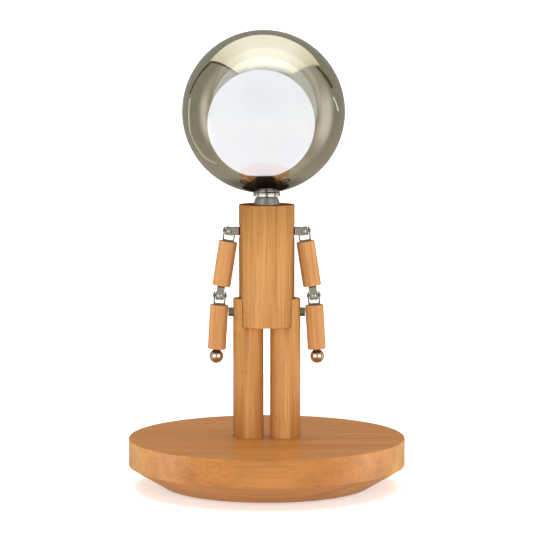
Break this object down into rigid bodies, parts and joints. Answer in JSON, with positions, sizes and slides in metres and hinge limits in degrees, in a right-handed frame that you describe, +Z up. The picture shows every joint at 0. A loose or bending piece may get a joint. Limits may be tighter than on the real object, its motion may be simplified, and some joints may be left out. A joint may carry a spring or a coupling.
{
  "type": "desk lamp",
  "caption": "Free-standing wooden figure lamp with a smoke glass globe head, an opal inner ball and jointed hanging arms on a round foot.",
  "frame": {"origin": "centre of the surface the lamp stands on", "axes": "+Z up, the figure faces -Y, its picture-right arm is at +X"},
  "size_m": [0.2124, 0.2124, 0.3501],
  "materials": {
    "beech": "oiled, satin",
    "nickel": "polished",
    "ball_metal": "polished, warm",
    "cone_metal": "satin",
    "smoke_glass": "semi-mirror smoke",
    "opal_glass": "opal white",
    "brass": "bright",
    "steel": "plated",
    "aluminium": "satin",
    "black_plastic": "moulded",
    "white_plastic": "moulded",
    "lead_jacket": "satin",
    "rubber": "matt"
  },
  "bodies": {
    "lamp": {"base_disc": "beech", "rubber_feet": "rubber", "base_cover": "black_plastic", "cover_screws": "steel", "cord_gland": "nickel", "terminal_block": "white_plastic", "leg_screws": "steel", "leg_left": "beech", "leg_right": "beech", "torso": "beech", "hip_screw_left": "nickel", "hip_screw_right": "nickel", "hip_insert_left": "brass", "hip_insert_right": "brass", "neck_cone": "cone_metal", "holder_body": "black_plastic", "holder_thread": "brass", "holder_contact": "brass", "inner_lead": "lead_jacket", "shoulder_screw_left": "steel", "shoulder_screw_right": "steel"},
    "bulb": {"bulb_outer_globe": "smoke_glass", "bulb_inner_globe": "opal_glass", "bulb_collar": "nickel", "bulb_cap": "nickel", "bulb_insulator": "black_plastic", "bulb_tip": "brass", "led_post": "aluminium", "led_board": "white_plastic"},
    "shoulder_yoke_left": {"shoulder_yoke_left": "nickel"},
    "upper_arm_left": {"shoulder_cross_left": "nickel", "shoulder_rivets_left": "steel", "upper_arm_left": "beech", "arm_top_yoke_left": "nickel", "arm_low_yoke_left": "nickel", "upper_arm_screws_left": "steel"},
    "elbow_cross_left": {"elbow_cross_left": "nickel", "elbow_rivets_left": "steel"},
    "forearm_left": {"forearm_left": "beech", "forearm_yoke_left": "nickel", "forearm_screw_left": "steel", "hand_ball_left": "ball_metal"},
    "shoulder_yoke_right": {"shoulder_yoke_right": "nickel"},
    "upper_arm_right": {"shoulder_cross_right": "nickel", "shoulder_rivets_right": "steel", "upper_arm_right": "beech", "arm_top_yoke_right": "nickel", "arm_low_yoke_right": "nickel", "upper_arm_screws_right": "steel"},
    "elbow_cross_right": {"elbow_cross_right": "nickel", "elbow_rivets_right": "steel"},
    "forearm_right": {"forearm_right": "beech", "forearm_yoke_right": "nickel", "forearm_screw_right": "steel", "hand_ball_right": "ball_metal"}
  },
  "joints": [
    {"name": "bulb_turn", "type": "hinge", "parent": "lamp", "child": "bulb", "pos_m": [0, 0, 0.226], "axis": [0, 0, 1], "range_deg": [0, 1080]},
    {"name": "shoulder_swing_left", "type": "hinge", "parent": "lamp", "child": "shoulder_yoke_left", "pos_m": [-0.0283, 0, 0.1971], "axis": [-1, 0, 0], "range_deg": [-120, 120]},
    {"name": "shoulder_raise_left", "type": "hinge", "parent": "shoulder_yoke_left", "child": "upper_arm_left", "pos_m": [-0.0283, 0, 0.1971], "axis": [0, 1, 0], "range_deg": [0, 95]},
    {"name": "elbow_raise_left", "type": "hinge", "parent": "upper_arm_left", "child": "elbow_cross_left", "pos_m": [-0.03596, 0, 0.14759], "axis": [0, 1, 0], "range_deg": [0, 25]},
    {"name": "elbow_swing_left", "type": "hinge", "parent": "elbow_cross_left", "child": "forearm_left", "pos_m": [-0.03596, 0, 0.14759], "axis": [-0.9982, 0, 0.0593], "range_deg": [-45, 45]},
    {"name": "shoulder_swing_right", "type": "hinge", "parent": "lamp", "child": "shoulder_yoke_right", "pos_m": [0.0283, 0, 0.1971], "axis": [-1, 0, 0], "range_deg": [-120, 120]},
    {"name": "shoulder_raise_right", "type": "hinge", "parent": "shoulder_yoke_right", "child": "upper_arm_right", "pos_m": [0.0283, 0, 0.1971], "axis": [0, -1, 0], "range_deg": [0, 95]},
    {"name": "elbow_raise_right", "type": "hinge", "parent": "upper_arm_right", "child": "elbow_cross_right", "pos_m": [0.03596, 0, 0.14759], "axis": [0, -1, 0], "range_deg": [0, 25]},
    {"name": "elbow_swing_right", "type": "hinge", "parent": "elbow_cross_right", "child": "forearm_right", "pos_m": [0.03596, 0, 0.14759], "axis": [-0.9982, 0, -0.0593], "range_deg": [-45, 45]}
  ]
}
